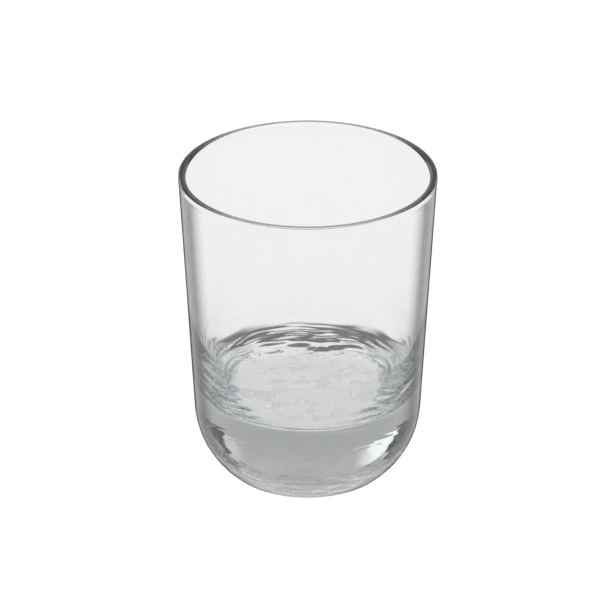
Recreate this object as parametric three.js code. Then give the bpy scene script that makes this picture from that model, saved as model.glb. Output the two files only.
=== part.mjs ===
// A whisky glass: a straight, slightly tapered tumbler with a thick solid base.
// It is one piece of clear glass, so it is one closed solid, turned about its axis.
// Millimetres, +Z up. The origin is the middle of the foot, on the surface it stands on.
import * as THREE from 'three';

// Driving dimensions
const height = 101;            // foot to the top of the lip
const rimRadius = 40;          // outside of the wall, carried up to the top of the lip
const footRadius = 35;         // outside of the wall, carried down to the foot's level
const wallThickness = 2.4;     // the upper wall, and the lip that is rounded on it
const baseThickness = 27.2;    // solid glass under the floor of the bowl
const thickeningRise = 30;     // height above the floor where the wall starts to thicken
const thickening = 4.2;        // glass that the wall has gained where it reaches the floor
const floorFillet = 2.6;       // inside corner between the wall and the floor
const footFlat = 26;           // radius of the flat that the glass stands on
const heelRise = 21;           // height where the wall starts to swell in towards the foot
const heelTuck = 8.4;          // height where the heel's slope at the foot, carried up, meets the wall

// How finely the round stretches are cut
const turnSegments = 64;
const arcSegments = 12;
const curveSegments = 8;

// The outer wall is a straight line in the (radius, height) plane
const taper = (rimRadius - footRadius) / height;
const lean = Math.atan(taper);
const outerRadiusAt = (z) => footRadius + taper * z;

// Points on an arc about (centreR, centreZ), from one angle to another
function arcPoints(centreR, centreZ, radius, from, to) {
  const arc = new THREE.EllipseCurve(centreR, centreZ, radius, radius, from, to, to < from);
  return arc.getPoints(arcSegments);
}

// Foot and heel: the heel leaves the flat foot at an edge and swells out until it runs along the wall
function heelProfile() {
  const edge = new THREE.Vector2(footFlat, 0);
  const tuck = new THREE.Vector2(outerRadiusAt(heelTuck), heelTuck);
  const top = new THREE.Vector2(outerRadiusAt(heelRise), heelRise);
  return new THREE.QuadraticBezierCurve(edge, tuck, top).getPoints(arcSegments);
}

// Lip: a half round on top of the wall, square to the wall's lean
function lipProfile() {
  const radius = wallThickness / 2;
  const centreZ = height - radius;
  const centreR = outerRadiusAt(centreZ) - radius / Math.cos(lean);
  return arcPoints(centreR, centreZ, radius, -lean, Math.PI - lean);
}

// Bowl: the inner wall runs beside the outer one, thickens along a parabola and turns into the floor
function bowlProfile() {
  const innerRadiusAt = (z) => outerRadiusAt(z) - wallThickness / Math.cos(lean);
  const topZ = baseThickness + thickeningRise;
  const start = new THREE.Vector2(innerRadiusAt(topZ), topZ);
  const middleZ = baseThickness + thickeningRise / 2;
  const middle = new THREE.Vector2(innerRadiusAt(middleZ), middleZ);
  const corner = new THREE.Vector2(innerRadiusAt(baseThickness) - thickening, baseThickness);

  // The fillet is an arc that touches the floor and the line from the middle point to the corner
  const slope = Math.atan2(middle.x - corner.x, middle.y - corner.y);
  const reach = floorFillet * Math.tan((Math.PI / 2 - slope) / 2);
  const end = corner.clone().lerp(middle, reach / corner.distanceTo(middle));
  const wallCurve = new THREE.QuadraticBezierCurve(start, middle, end);
  const centreR = corner.x - reach;
  const centreZ = baseThickness + floorFillet;
  return [
    ...wallCurve.getPoints(curveSegments),
    ...arcPoints(centreR, centreZ, floorFillet, -slope, -Math.PI / 2).slice(1),
  ];
}

function tumblerGeometry() {
  const profile = [
    new THREE.Vector2(0, 0),
    ...heelProfile(),
    ...lipProfile(),
    ...bowlProfile(),
    new THREE.Vector2(0, baseThickness),
  ];
  const geometry = new THREE.LatheGeometry(profile, turnSegments);
  geometry.rotateX(Math.PI / 2); // the lathe turns about Y, and the glass stands along Z
  return geometry;
}

const clearGlass = new THREE.MeshStandardMaterial({ color: 0xe9eeed, roughness: 0.05, metalness: 0 });

const tumbler = new THREE.Mesh(tumblerGeometry(), clearGlass);
tumbler.name = 'tumbler';

const whiskyGlass = new THREE.Group();
whiskyGlass.add(tumbler);

export default whiskyGlass;
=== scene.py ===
# Whisky glass: one heavy-based tumbler of clear glass, standing on a pale studio floor
import math

import bmesh
import bpy
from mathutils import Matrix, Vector, noise


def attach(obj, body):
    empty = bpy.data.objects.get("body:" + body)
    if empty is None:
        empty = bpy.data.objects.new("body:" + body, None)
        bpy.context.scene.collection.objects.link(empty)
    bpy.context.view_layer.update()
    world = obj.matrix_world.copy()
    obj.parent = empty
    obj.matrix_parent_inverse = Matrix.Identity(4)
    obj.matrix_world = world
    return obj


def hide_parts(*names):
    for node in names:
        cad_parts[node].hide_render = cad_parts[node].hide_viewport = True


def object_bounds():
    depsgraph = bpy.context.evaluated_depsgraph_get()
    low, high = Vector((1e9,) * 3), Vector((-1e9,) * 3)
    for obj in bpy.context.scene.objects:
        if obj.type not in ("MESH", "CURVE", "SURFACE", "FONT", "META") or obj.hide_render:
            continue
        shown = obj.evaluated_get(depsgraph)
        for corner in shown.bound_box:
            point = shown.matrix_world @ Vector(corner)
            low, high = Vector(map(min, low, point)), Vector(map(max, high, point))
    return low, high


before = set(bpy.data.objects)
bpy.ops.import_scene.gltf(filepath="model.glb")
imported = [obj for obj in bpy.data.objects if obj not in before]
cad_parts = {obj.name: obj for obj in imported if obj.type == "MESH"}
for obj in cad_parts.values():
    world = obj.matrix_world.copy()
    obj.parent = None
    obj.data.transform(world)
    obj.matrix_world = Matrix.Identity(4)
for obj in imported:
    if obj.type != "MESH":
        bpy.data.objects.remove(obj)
cadLow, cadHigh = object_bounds()
print("frame loaded, CAD box", tuple(cadLow), tuple(cadHigh))

mm = 0.001
white = (1.0, 1.0, 1.0, 1.0)
scene = bpy.context.scene


# One output socket, so that shader maths can be written as Python expressions
class Wire:
    def __init__(self, tree, socket=None):
        self.tree = tree
        self.socket = socket

    # Any node: its type, its settings, what goes into its sockets, and which output to carry on from
    def make(self, kind, settings, sockets, output=0):
        node = self.tree.nodes.new(kind)
        for name, value in settings.items():
            setattr(node, name, value)
        for name, value in sockets.items():
            if isinstance(value, Wire):
                self.tree.links.new(value.socket, node.inputs[name])
            else:
                node.inputs[name].default_value = value
        return Wire(self.tree, node.outputs[output] if node.outputs else None)

    def maths(self, operation, *values):
        return self.make("ShaderNodeMath", {"operation": operation}, dict(enumerate(values)))

    def __add__(self, other):
        return self.maths("ADD", self, other)

    def __radd__(self, other):
        return self.maths("ADD", other, self)

    def __sub__(self, other):
        return self.maths("SUBTRACT", self, other)

    def __rsub__(self, other):
        return self.maths("SUBTRACT", other, self)

    def __mul__(self, other):
        return self.maths("MULTIPLY", self, other)

    def __rmul__(self, other):
        return self.maths("MULTIPLY", other, self)

    def __truediv__(self, other):
        return self.maths("DIVIDE", self, other)

    def __rtruediv__(self, other):
        return self.maths("DIVIDE", other, self)

    def __abs__(self):
        return self.maths("ABSOLUTE", self)

    # Smooth step between two values, from one result to another
    def ease(self, low, high, toLow=0.0, toHigh=1.0):
        steps = {"interpolation_type": "SMOOTHSTEP"}
        ends = {"Value": self, "From Min": low, "From Max": high, "To Min": toLow, "To Max": toHigh}
        return self.make("ShaderNodeMapRange", steps, ends)

    # Smooth step down, from 1 to 0
    def fade(self, low, high):
        return self.ease(low, high, 1.0, 0.0)

    # 1 between a soft start and a soft end, 0 outside them
    def between(self, start, end):
        return self.ease(*start) * self.fade(*end)

    # The parts of a place or direction along x, y and z
    def axes(self):
        return [self.make("ShaderNodeSeparateXYZ", {}, {0: self}, axis) for axis in "XYZ"]

    # How far a place is from the middle of the foot
    def length(self):
        return self.make("ShaderNodeVectorMath", {"operation": "LENGTH"}, {0: self}, "Value")

    # This value as a grey
    def grey(self):
        return self.make("ShaderNodeCombineColor", {}, {0: self, 1: self, 2: self})

    # Two colours mixed, with this value as the share of the second
    def mix(self, first, second):
        return self.make("ShaderNodeMix", {"data_type": "RGBA"}, {0: self, 6: first, 7: second}, 2)


# Empty nodes for a material or a world
def freshNodes(owner):
    owner.use_nodes = True
    owner.node_tree.nodes.clear()
    return Wire(owner.node_tree)


def addObject(name, data):
    thing = bpy.data.objects.new(name, data)
    scene.collection.objects.link(thing)
    return thing


# Smooth 0 to 1 step for the mesh code
def rise(value, low, high):
    share = min(1.0, max(0.0, (value - low) / (high - low)))
    return share * share * (3 - 2 * share)


# 1 between a soft start and a soft end, 0 outside them
def band(value, start, end):
    return rise(value, *start) * (1 - rise(value, *end))


# Noise that closes on itself round the glass: lobes go round it, and run is the length of a wave up the glass
def waves(mark, angle, along, drift=0.0):
    reach = mark["lobes"] / (2 * math.pi)
    x = reach * math.cos(angle) + mark["seed"]
    y = reach * math.sin(angle) - mark["seed"]
    return mark["size"] * noise.noise(Vector((x, y, along / mark["run"] + drift)))


# Points on an arc in the (radius, height) plane, with its reach across and up
def arcPoints(centre, reach, start, end, count):
    points = []
    for step in range(count + 1):
        angle = start + (end - start) * step / count
        points.append((centre[0] + reach[0] * math.cos(angle), centre[1] + reach[1] * math.sin(angle)))
    return points


# Points on a straight line, without its first one
def linePoints(start, end, count):
    points = []
    for step in range(1, count + 1):
        share = step / count
        points.append((start[0] + (end[0] - start[0]) * share, start[1] + (end[1] - start[1]) * share))
    return points


# A point on the curve that sets out from start towards bend, and comes to end from it
def bentPoint(start, bend, end, share):
    return tuple(start * (1 - share) ** 2 + bend * (2 * share * (1 - share)) + end * share ** 2)


# Tumbler: lengths in metres, and the first eleven are the CAD solid's driving dimensions
tumblerForm = {
    "height": cadHigh.z - cadLow.z,
    "rimRadius": 40.0 * mm,
    "footRadius": 35.0 * mm,
    "wall": 2.4 * mm,
    "base": 27.2 * mm,
    "thickeningRise": 30.0 * mm,
    "thickening": 4.2 * mm,
    "floorFillet": 2.6 * mm,
    "footFlat": 26.0 * mm,
    "heelTuck": 8.4 * mm,
    "heelRise": 21.0 * mm,

    # Finer form: the two rounds of the lip, an eased corner at the foot, a fuller corner behind the floor
    "lipInner": 1.6 * mm, "lipDrop": 0.8 * mm,
    "footEase": 0.12 * mm, "heelStart": 0.01,
    "backFillet": 12.0 * mm, "backStart": (-0.8, 0.25),  # from -1 in front to 1 behind

    # Rings along the outline and steps round it, with closer rings at the foot's edge and under the lip
    "footRings": 12, "footEdge": 3.0 * mm, "footEdgeRings": 6, "heelRings": 44,
    "wallRings": 40, "shoulder": 6.0 * mm, "shoulderRings": 16, "lipOuterRings": 22, "lipInnerRings": 10,
    "bowlRings": 20, "thickeningRings": 90, "crowding": 1.7, "filletRings": 46, "floorRings": 30,
    "turnSteps": 288,

    # Marks that pressing and fire polishing leave on the outside
    "bead": 0.06 * mm, "beadStart": (0.8 * mm, 1.6 * mm), "beadEnd": (1.8 * mm, 3.4 * mm),
    "wallCalm": (4.0 * mm, 20.0 * mm),  # how far below the lip the wall's waves set in
    "outerWave": {"size": 0.015 * mm, "lobes": 9, "run": 30.0 * mm, "seed": 3.1},
    "heelWave": {"size": 0.09 * mm, "lobes": 40, "run": 1.8 * mm, "seed": 17.2},
    "heelStretch": ((0.0, 3.0 * mm), (9.0 * mm, 13.0 * mm)),

    # Marks in the bowl: wrinkles mostly behind, streaks mostly at the sides, and a ridge round the floor
    "innerWave": {"size": 0.03 * mm, "lobes": 9, "run": 30.0 * mm, "seed": 7.7},
    "drift": {"size": 1.6, "lobes": 13, "run": 1.0, "seed": 5.3},
    "wrinkle": {"size": 0.8 * mm, "lobes": 13, "run": 0.9 * mm, "seed": 11.9},
    "fineWrinkle": {"size": 0.48 * mm, "lobes": 26, "run": 0.9 * mm / 1.9, "seed": 23.4},
    "wrinkleFade": (2.45 * mm, 7.0 * mm), "wrinkleBack": 1.0, "wrinkleSides": 0.22, "wrinkleFront": 0.05,
    "streak": {"size": 0.26 * mm, "lobes": 10, "run": 2.4 * mm, "seed": 31.7},
    "streakFade": (9.6 * mm, 24.0 * mm), "streakSides": 1.0, "streakBack": 0.2,
    "gather": 1.5,  # how closely both keep to those sides
    "ridge": 0.12 * mm, "ridgeUp": 0.25 * mm, "ridgeWidth": 0.18 * mm,
    "floorWave": 0.16 * mm, "floorRun": 2.6 * mm,
}


def wallTaper():
    return (tumblerForm["rimRadius"] - tumblerForm["footRadius"]) / tumblerForm["height"]


# The outer wall is a straight line, for a height in the mesh code or a wire in the material
def outerRadiusAt(z):
    return tumblerForm["footRadius"] + wallTaper() * z


def outerPoint(z):
    return (outerRadiusAt(z), z)


def footPoints():
    form = tumblerForm
    middle = (0.0, 0.0)
    edge = (form["footFlat"] - form["footEdge"], 0.0)
    end = (form["footFlat"] - form["footEase"], 0.0)
    flat = linePoints(middle, edge, form["footRings"])
    return [middle] + flat + linePoints(edge, end, form["footEdgeRings"])


# The heel leaves the flat foot at a corner and swells out until it runs along the wall
def heelPoints():
    form = tumblerForm
    corner = Vector((form["footFlat"], 0.0))
    tuck = Vector(outerPoint(form["heelTuck"]))
    top = Vector(outerPoint(form["heelRise"]))
    points = []
    for step in range(form["heelRings"] + 1):
        share = form["heelStart"] + (1 - form["heelStart"]) * step / form["heelRings"]
        points.append(bentPoint(corner, tuck, top, share))
    return points


# Fire polishing leaves a long round towards the bowl and a tighter one outside
def lipPoints():
    form = tumblerForm
    top = form["height"]
    inner = form["lipInner"]
    outer = form["wall"] - inner
    drop = form["lipDrop"]
    crestR = outerRadiusAt(top - drop) - outer
    outside = arcPoints((crestR, top - drop), (outer, drop), 0.0, math.pi / 2, form["lipOuterRings"])
    inside = arcPoints((crestR, top - inner), (inner, inner), math.pi / 2, math.pi, form["lipInnerRings"])
    return outside + inside[1:]


# The inner wall runs beside the outer one, thickens along a curve and turns into the floor
def bowlPoints(lipEnd, floorFillet):
    form = tumblerForm
    wallAcross = form["wall"] / math.cos(math.atan(wallTaper()))

    def innerRadiusAt(z):
        return outerRadiusAt(z) - wallAcross

    floorZ = form["base"]
    topZ = floorZ + form["thickeningRise"]
    middleZ = floorZ + form["thickeningRise"] / 2
    start = Vector((innerRadiusAt(topZ), topZ))
    middle = Vector((innerRadiusAt(middleZ), middleZ))
    corner = Vector((innerRadiusAt(floorZ) - form["thickening"], floorZ))
    slope = math.atan2(middle.x - corner.x, middle.y - corner.y)
    reach = floorFillet * math.tan((math.pi / 2 - slope) / 2)
    end = corner.lerp(middle, reach / (middle - corner).length)

    inside = linePoints(lipEnd, tuple(start), form["bowlRings"])
    for step in range(1, form["thickeningRings"] + 1):
        share = 1 - (1 - step / form["thickeningRings"]) ** form["crowding"]  # closer towards the wrinkles
        inside.append(bentPoint(start, middle, end, share))
    floorR = corner.x - reach
    centre = (floorR, floorZ + floorFillet)
    fillet = arcPoints(centre, (floorFillet, floorFillet), -slope, -math.pi / 2, form["filletRings"])[1:]
    floor = linePoints((floorR, floorZ), (0.0, floorZ), form["floorRings"])
    return inside, fillet, floor


# The turned outline from the middle of the foot, up the outside, over the lip and down to the middle of
# the bowl's floor, each point with the zone of the glass that it lies in
def tumblerOutline(floorFillet):
    form = tumblerForm
    heel = heelPoints()
    lip = lipPoints()
    shoulder = outerPoint(form["height"] - form["shoulder"])
    outside = linePoints(heel[-1], shoulder, form["wallRings"])
    outside += linePoints(shoulder, lip[0], form["shoulderRings"])[:-1]
    inside, fillet, floor = bowlPoints(lip[-1], floorFillet)
    zones = {
        "foot": footPoints(), "heel": heel, "outside": outside, "lip": lip,
        "inside": inside, "fillet": fillet, "floor": floor,
    }
    return [(zone, point) for zone, points in zones.items() for point in points]


# Wrinkles and streaks on the inner wall, by the height above the floor
def wrinkleDepth(angle, up):
    form = tumblerForm
    back = max(0.0, math.sin(angle)) ** form["gather"]
    front = max(0.0, -math.sin(angle))
    sides = abs(math.cos(angle)) ** form["gather"]
    drift = waves(form["drift"], angle, 0.0)  # sets the lines off up and down, so that they don't run level

    wrinkleShare = form["wrinkleSides"] + (form["wrinkleBack"] - form["wrinkleSides"]) * back
    wrinkleShare += (form["wrinkleFront"] - form["wrinkleSides"]) * front
    wrinkles = waves(form["wrinkle"], angle, up, drift) + waves(form["fineWrinkle"], angle, up, drift)
    streakShare = form["streakBack"] + (form["streakSides"] - form["streakBack"]) * sides
    streaks = waves(form["streak"], angle, up, drift)
    return (wrinkles * wrinkleShare * (1 - rise(up, *form["wrinkleFade"]))
            + streaks * streakShare * (1 - rise(up, *form["streakFade"])))


# How far a point stands off the true turned form, along its own normal
def markDepth(zone, angle, radius, z):
    form = tumblerForm
    below = form["height"] - z
    up = z - form["base"]
    off = 0.0
    if zone == "outside":
        off += rise(below, *form["wallCalm"]) * waves(form["outerWave"], angle, z)
        off += form["bead"] * band(below, form["beadStart"], form["beadEnd"])
    if zone == "heel":
        off += band(z, *form["heelStretch"]) * waves(form["heelWave"], angle, z)
    if zone == "inside":
        off += rise(below, *form["wallCalm"]) * waves(form["innerWave"], angle, z)
    if zone in ("inside", "fillet"):
        off += wrinkleDepth(angle, up)
    if zone == "fillet":
        off += form["ridge"] * math.exp(-((up - form["ridgeUp"]) / form["ridgeWidth"]) ** 2)
    if zone == "floor":
        spot = Vector((radius * math.cos(angle), radius * math.sin(angle), 0.0))
        off += form["floorWave"] * noise.noise(spot / form["floorRun"])
    return off


def buildTumbler():
    form = tumblerForm
    outline = tumblerOutline(form["floorFillet"])
    fuller = tumblerOutline(form["backFillet"])  # the glass settled thicker in the corner behind the floor
    steps = form["turnSteps"]
    mesh = bmesh.new()
    rings = []
    for index, (zone, (radius, z)) in enumerate(outline):
        if radius == 0.0:  # the outline starts and ends on the axis
            rings.append([mesh.verts.new((0.0, 0.0, z))])
            continue
        ring = []
        for turn in range(steps):
            angle = 2 * math.pi * turn / steps
            share = rise(math.sin(angle), *form["backStart"])
            before, here, after = [
                Vector(outline[at][1]).lerp(Vector(fuller[at][1]), share)
                for at in (index - 1, index, index + 1)
            ]
            along = (after - before).normalized()
            off = markDepth(zone, angle, here.x, here.y)
            standR = here.x + along.y * off
            standZ = here.y - along.x * off
            ring.append(mesh.verts.new((standR * math.cos(angle), standR * math.sin(angle), standZ)))
        rings.append(ring)
    for lower, upper in zip(rings, rings[1:]):
        for turn in range(steps):
            nextTurn = (turn + 1) % steps
            if len(lower) == 1:
                corners = (lower[0], upper[nextTurn], upper[turn])
            elif len(upper) == 1:
                corners = (lower[turn], lower[nextTurn], upper[0])
            else:
                corners = (lower[turn], lower[nextTurn], upper[nextTurn], upper[turn])
            mesh.faces.new(corners).smooth = True
    bmesh.ops.recalc_face_normals(mesh, faces=mesh.faces)
    data = bpy.data.meshes.new("tumblerGlass")
    mesh.to_mesh(data)
    mesh.free()
    print("tumbler turned:", len(outline), "rings,", len(data.polygons), "faces")
    return addObject("tumblerGlass", data)


# Clear glass: colourless, and a little grey-green in its depth. Scales are per metre
clearGlass = {
    "index": 1.52,
    "absorption": (0.0, 0.06, 0.08, 1.0), "density": 7.0,
    "skin": (0.8 * mm, 1.6 * mm),  # how far in from the outer wall still counts as its surface

    # Painted shade: a dark tint at glancing angles towards the edges of the outer wall, up to the lip, stands
    # in for the dark surroundings seen in the glass's edges
    "paintedLimbShade": (0.06, 0.062, 0.062, 1.0), "limbReach": (0.48, 0.68), "limbTop": (1.4 * mm, 2.6 * mm),

    # Finger marks and a slow ripple on the upper wall
    "smudge": 0.03, "smudgeScale": 55.0, "smudgeDetail": 4.0, "smudgeReach": (0.52, 0.7),
    "rippleScale": 90.0, "rippleDetail": 1.0, "rippleDepth": 0.004 * mm,
    "wallStretch": ((45.0 * mm, 60.0 * mm), (90.0 * mm, 97.0 * mm)),

    # Fine pits on the heel
    "pitScale": 1100.0, "pitDetail": 0.0, "pitDepth": 0.05 * mm,
    "pitStretch": ((1.0 * mm, 2.0 * mm), (8.0 * mm, 12.0 * mm)),

    # Dried water marks on the bowl's floor, by the height above it and the distance from its middle
    "fleck": (0.8, 0.81, 0.815, 1.0),
    "fleckScale": 200.0, "fleckDetail": 3.0, "fleckReach": (0.5, 0.6), "fleckDepth": 0.25 * mm,
    "fleckStretch": ((-1.2 * mm, -0.6 * mm), (0.6 * mm, 1.4 * mm)), "fleckEdge": (24.0 * mm, 27.0 * mm),
}


def glassMaterial():
    glass = clearGlass
    material = bpy.data.materials.new("clearGlass")
    start = freshNodes(material)
    place = start.make("ShaderNodeTexCoord", {}, {}, "Object")
    x, y, height = place.axes()
    radius = start.maths("SQRT", x * x + y * y)

    def grain(scale, detail):
        return start.make("ShaderNodeTexNoise", {}, {"Vector": place, "Scale": scale, "Detail": detail})

    outside = (outerRadiusAt(height) - radius).fade(*glass["skin"])
    wall = outside * height.between(*glass["wallStretch"])
    heel = height.between(*glass["pitStretch"])
    floor = (height - tumblerForm["base"]).between(*glass["fleckStretch"]) * radius.fade(*glass["fleckEdge"])

    # Painted shade: the outer wall is tinted dark where it is seen at a glancing angle
    facing = start.make("ShaderNodeLayerWeight", {}, {"Blend": 0.5}, "Facing")
    paintedLimbShade = facing.ease(*glass["limbReach"]) * outside
    paintedLimbShade = paintedLimbShade * (tumblerForm["height"] - height).ease(*glass["limbTop"])
    flecks = grain(glass["fleckScale"], glass["fleckDetail"]).ease(*glass["fleckReach"]) * floor
    tint = paintedLimbShade.mix(flecks.mix(white, glass["fleck"]), glass["paintedLimbShade"])

    smears = grain(glass["smudgeScale"], glass["smudgeDetail"])
    roughness = smears.ease(*glass["smudgeReach"], 0.0, glass["smudge"]) * wall

    pits = grain(glass["pitScale"], glass["pitDetail"]) * heel
    ripple = grain(glass["rippleScale"], glass["rippleDetail"]) * wall
    relief = pits * glass["pitDepth"] + ripple * glass["rippleDepth"] + flecks * glass["fleckDepth"]
    skin = start.make("ShaderNodeBump", {}, {"Strength": 1.0, "Distance": 1.0, "Height": relief})

    surface = start.make("ShaderNodeBsdfPrincipled", {}, {
        "Base Color": tint,
        "Normal": skin,
        "Roughness": roughness,
        "IOR": glass["index"],
        "Transmission Weight": 1.0,
    })
    depth = start.make("ShaderNodeVolumeAbsorption", {}, {
        "Color": glass["absorption"],
        "Density": glass["density"],
    })
    start.make("ShaderNodeOutputMaterial", {}, {"Surface": surface, "Volume": depth})
    return material


tumbler = buildTumbler()
tumbler.data.materials.append(glassMaterial())
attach(tumbler, "root")
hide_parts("tumbler")
print("tumbler dressed")

# The floor is two sheets just under the foot: one for the camera, and one with painted light and shade that
# shows through the glass
floorSheets = {"halfWidth": 6.0, "drop": 0.2 * mm}


def floorSheet(name):
    half = floorSheets["halfWidth"]
    z = cadLow.z - floorSheets["drop"]
    data = bpy.data.meshes.new(name)
    corners = [(-half, -half), (half, -half), (half, half), (-half, half)]
    data.from_pydata([(x, y, z) for x, y in corners], [], [(0, 1, 2, 3)])
    material = bpy.data.materials.new(name)
    data.materials.append(material)
    sheet = addObject(name, data)
    sheet.visible_glossy = False  # dark flags fill the glass's own reflections, so its edges read
    return sheet, freshNodes(material).make("ShaderNodeTexCoord", {}, {}, "Object")


# Pale floor: it dims with the distance, until it meets the backdrop
paleFloor = {"colour": (0.15, 0.15, 0.15, 1.0), "glow": 0.9, "farGlow": 0.57, "farReach": (0.5, 4.5)}


def buildPaleFloor():
    sheet, place = floorSheet("paleFloor")
    sheet.visible_transmission = False
    level = place.length().ease(*paleFloor["farReach"], paleFloor["glow"], paleFloor["farGlow"])
    surface = place.make("ShaderNodeBsdfPrincipled", {}, {
        "Base Color": paleFloor["colour"],
        "Roughness": 1.0,
        "Specular IOR Level": 0.0,
        "Emission Color": level.grey(),
        "Emission Strength": 1.0,
    })
    place.make("ShaderNodeOutputMaterial", {}, {"Surface": surface})


# Thrown light: painted light and shade that stand in for what the glass throws on the floor, on a glowing
# sheet seen only through the glass
paintedThrownLight = {
    "plain": 0.9,
    # Painted shade: the sheet is a little darker under the foot
    "underFoot": 0.82, "underEdge": (33.0 * mm, 37.0 * mm),

    # Painted shadow, dark, close behind the foot, for rays that come down steeply
    "nearShade": 0.03, "nearStart": (40.0 * mm, 46.0 * mm), "nearEnd": (57.0 * mm, 70.0 * mm),
    "nearBehind": (28.0 * mm, 44.0 * mm), "nearSteep": (0.68, 0.8),

    # Painted shade: the lit sheet is duller at a glancing angle
    "aslant": 0.62, "aslantStart": (0.66, 0.86),

    # Painted shade of two dark posts, far behind on either side
    "postShade": 0.9, "postInside": (0.58, 0.62), "postOutside": (0.74, 0.82), "postRest": 0.5,
    "postAway": (0.3, 0.5), "postBehind": (0.1, 0.3),
}


def buildPaintedThrownLight():
    light = paintedThrownLight
    sheet, place = floorSheet("paintedThrownLight")
    sheet.visible_camera = False
    sheet.visible_diffuse = False
    sheet.visible_shadow = False
    x, y = place.axes()[:2]
    away = place.length()
    facing = place.make("ShaderNodeLayerWeight", {}, {"Blend": 0.5}, "Facing")

    # Painted shade under the foot, painted shadow behind it, painted dark posts and painted dimming at
    # glancing angles
    under = away.fade(*light["underEdge"])
    near = away.between(light["nearStart"], light["nearEnd"]) * y.ease(*light["nearBehind"])
    near = near * facing.fade(*light["nearSteep"])
    sideways = abs(x / away)
    post = sideways.ease(*light["postInside"]) * sideways.ease(*light["postOutside"], 1.0, light["postRest"])
    post = post * away.ease(*light["postAway"]) * y.ease(*light["postBehind"])
    aslant = facing.ease(*light["aslantStart"], 1.0, light["aslant"])

    level = light["plain"] + under * (light["underFoot"] - light["plain"])
    level = level - near * (light["plain"] - light["nearShade"])
    level = level * aslant * (1 - light["postShade"] * post)
    glow = place.make("ShaderNodeEmission", {}, {"Color": level.grey(), "Strength": 1.0})
    place.make("ShaderNodeOutputMaterial", {}, {"Surface": glow})


# Pale backdrop: a round shell that only the camera sees, so that floor and wall run into each other
paleBackdrop = {"radius": 5.0, "glow": (0.72, 0.72, 0.72, 1.0), "stepsRound": 64, "stepsUp": 32}


def buildPaleBackdrop():
    mesh = bmesh.new()
    bmesh.ops.create_uvsphere(
        mesh,
        u_segments=paleBackdrop["stepsRound"],
        v_segments=paleBackdrop["stepsUp"],
        radius=paleBackdrop["radius"],
    )
    data = bpy.data.meshes.new("paleBackdrop")
    mesh.to_mesh(data)
    mesh.free()
    material = bpy.data.materials.new("paleBackdrop")
    data.materials.append(material)
    start = freshNodes(material)
    glow = start.make("ShaderNodeEmission", {}, {"Color": paleBackdrop["glow"], "Strength": 1.0})
    start.make("ShaderNodeOutputMaterial", {}, {"Surface": glow})
    shell = addObject("paleBackdrop", data)
    shell.visible_diffuse = False
    shell.visible_glossy = False
    shell.visible_transmission = False
    shell.visible_shadow = False


buildPaleFloor()
buildPaintedThrownLight()
buildPaleBackdrop()
print("floor and backdrop laid")

# Studio light, by direction from -1 to 1: across to the right, back away from the camera, and up
studioLight = {
    # Big soft light overhead, which fades towards the horizon
    "overhead": 1.5, "horizon": 0.5, "overheadUp": (0.42, 0.95),

    # Behind, a little more light low down and a little less above
    "backLow": 0.06, "backHigh": -0.07, "backUp": (0.2, 0.36), "backBehind": (0.35, 0.7),

    # Soft boxes at the sides and in front
    "sideBox": 0.3, "sideBoxAcross": (0.2, 0.4), "sideBoxBack": (0.3, 0.5), "sideBoxUp": (0.2, 0.36),
    "frontBox": 0.6, "frontBoxBack": (-0.8, -0.4), "frontBoxUp": (0.15, 0.4),

    # Two bright upright strips low down behind, which light the sides of the base
    "leftStrip": 0.9, "leftStripAcross": ((-0.69, -0.65), (-0.52, -0.3)),
    "rightStrip": 0.26, "rightStripAcross": ((0.42, 0.54), (0.6, 0.64)),
    "stripBehind": (0.3, 0.6), "stripTop": (0.15, 0.35),

    # Two dark posts outside the strips, the left one a little further out, which draw the base's dark sides
    "post": 0.95, "postLag": 0.05, "postInside": (0.61, 0.635), "postOutside": (0.74, 0.82), "postRest": 0.62,
    "postBehind": (0.2, 0.4), "postTop": (0.4, 0.6),

    # Below the horizon a lit floor, with a dark flag behind
    "floor": 0.9, "floorTop": (-0.3, -0.1),
    "flag": 0.05, "flagAcross": (0.2, 0.42), "flagBehind": (0.4, 0.75),
}


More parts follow.
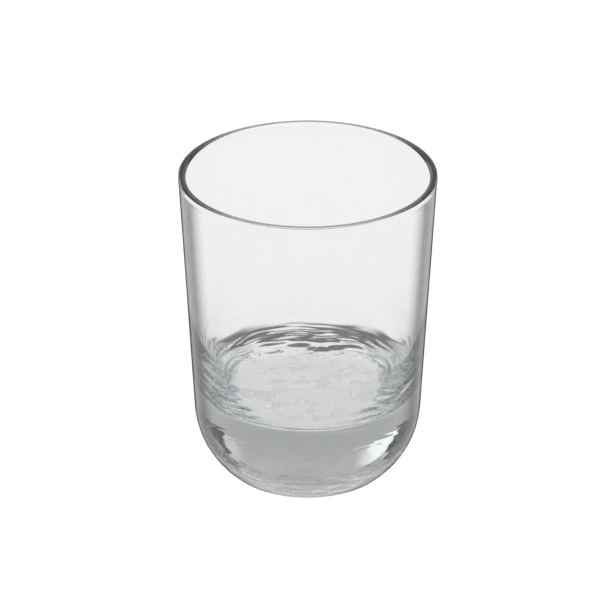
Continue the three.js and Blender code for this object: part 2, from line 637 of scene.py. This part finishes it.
def lightStudio():
    light = studioLight
    world = bpy.data.worlds.new("studioLight")
    start = freshNodes(world)
    across, back, up = start.make("ShaderNodeTexCoord", {}, {}, "Generated").axes()
    sideways = abs(across)

    above = up.ease(*light["overheadUp"], light["horizon"], light["overhead"])
    backLight = up.ease(*light["backUp"], light["backLow"], light["backHigh"])
    above = above + back.ease(*light["backBehind"]) * backLight
    sideBox = sideways.ease(*light["sideBoxAcross"]) * abs(back).fade(*light["sideBoxBack"])
    above = above + light["sideBox"] * sideBox * up.ease(*light["sideBoxUp"])
    above = above + light["frontBox"] * back.fade(*light["frontBoxBack"]) * up.ease(*light["frontBoxUp"])
    strips = light["leftStrip"] * across.between(*light["leftStripAcross"])
    strips = strips + light["rightStrip"] * across.between(*light["rightStripAcross"])
    above = above + strips * up.fade(*light["stripTop"]) * back.ease(*light["stripBehind"])

    aside = start.maths("MAXIMUM", across, -light["postLag"] - across)
    post = aside.ease(*light["postInside"]) * aside.ease(*light["postOutside"], 1.0, light["postRest"])
    post = post * back.ease(*light["postBehind"]) * up.fade(*light["postTop"])
    above = above * (1 - light["post"] * post)

    flag = sideways.fade(*light["flagAcross"]) * back.ease(*light["flagBehind"])
    below = light["floor"] + flag * (light["flag"] - light["floor"])
    onFloor = up.fade(*light["floorTop"])
    strength = above * (1 - onFloor) + below * onFloor
    glow = start.make("ShaderNodeBackground", {}, {"Color": white, "Strength": strength})
    start.make("ShaderNodeOutputWorld", {}, {"Surface": glow})
    scene.world = world


lightStudio()
print("studio lit")

# Camera: the photograph looks down on the glass from a little way off
viewPoint = {
    "distance": 1.0, "elevation": math.radians(27), "aimZ": 56.7 * mm, "shift": -2.4 * mm,
    "sensor": 36.0, "lens": 190.9, "nearest": 0.01, "furthest": 100.0,
}


def placeCamera():
    data = bpy.data.cameras.new("viewPoint")
    data.sensor_width = viewPoint["sensor"]
    data.lens = viewPoint["lens"]
    data.clip_start = viewPoint["nearest"]
    data.clip_end = viewPoint["furthest"]
    camera = addObject("viewPoint", data)
    away = viewPoint["distance"] * math.cos(viewPoint["elevation"])
    above = viewPoint["distance"] * math.sin(viewPoint["elevation"])
    camera.location = (viewPoint["shift"], -away, viewPoint["aimZ"] + above)
    camera.rotation_euler = (math.pi / 2 - viewPoint["elevation"], 0.0, 0.0)
    scene.camera = camera


placeCamera()
glassBounces = 160  # light runs far along inside the wall before it leaves the glass
scene.view_settings.view_transform = "Standard"
scene.view_settings.look = "None"
scene.cycles.max_bounces = glassBounces
scene.cycles.transmission_bounces = glassBounces
scene.cycles.glossy_bounces = glassBounces
scene.cycles.blur_glossy = 0.0
print("camera placed")
